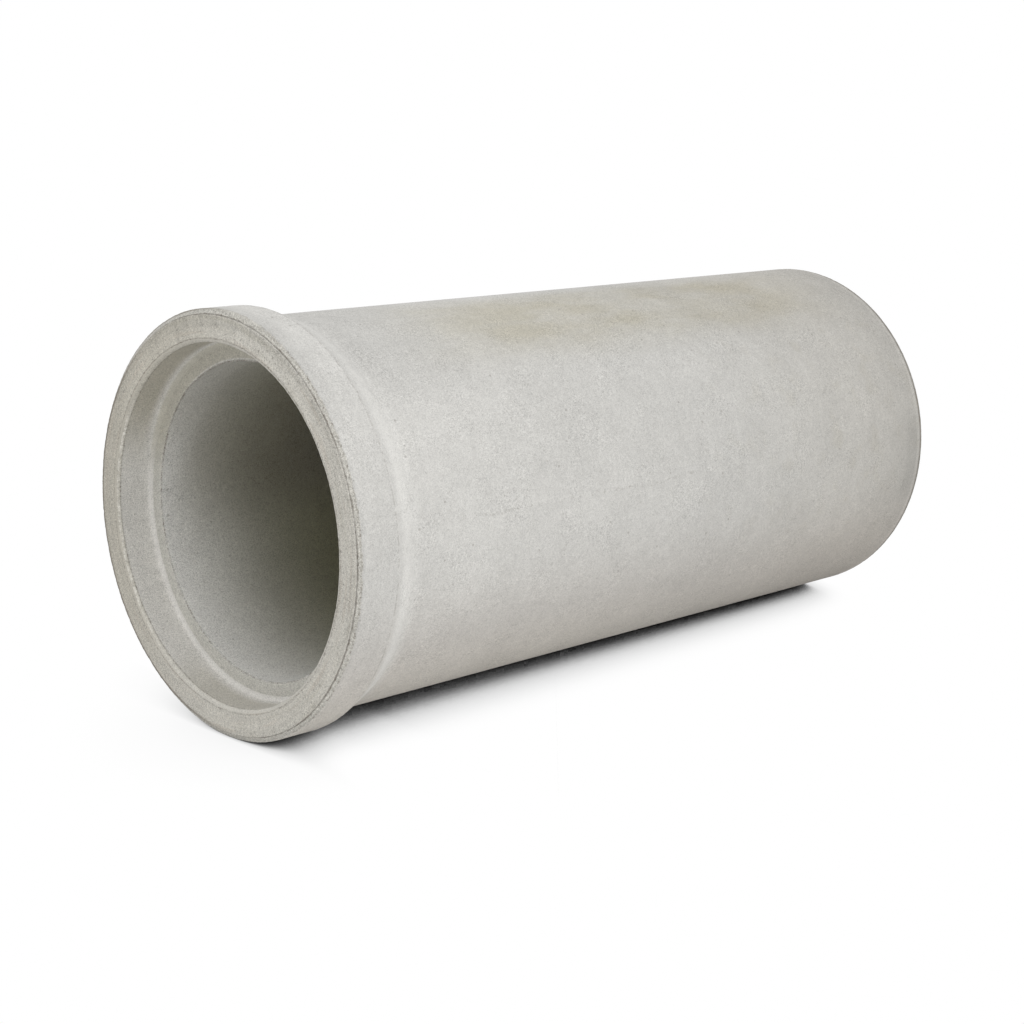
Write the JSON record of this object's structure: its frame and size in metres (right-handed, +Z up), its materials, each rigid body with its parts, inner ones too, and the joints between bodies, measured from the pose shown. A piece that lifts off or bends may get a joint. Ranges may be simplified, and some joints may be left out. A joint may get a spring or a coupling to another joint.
{
  "type": "concrete sewer pipe",
  "caption": "Round concrete sewer pipe lying on the ground, with a bell and socket at one end, a straight barrel and a reduced spigot at the other, to join end to end in a buried drain.",
  "frame": {"origin": "on the ground, under the middle of the pipe's box", "axes": "+X level along the pipe from the bell to the spigot, +Y across it, +Z up; the pipe's own axis falls 0.85 degrees toward the spigot, because it rests on the bell's back corner and the end of the barrel"},
  "size_m": [2.6154, 1.1898, 1.1913],
  "materials": {
    "concrete": "matte cast concrete, fine grained, with pits, rough edges and faint stains"
  },
  "bodies": {
    "root": {"pipe": "concrete"}
  },
  "joints": []
}
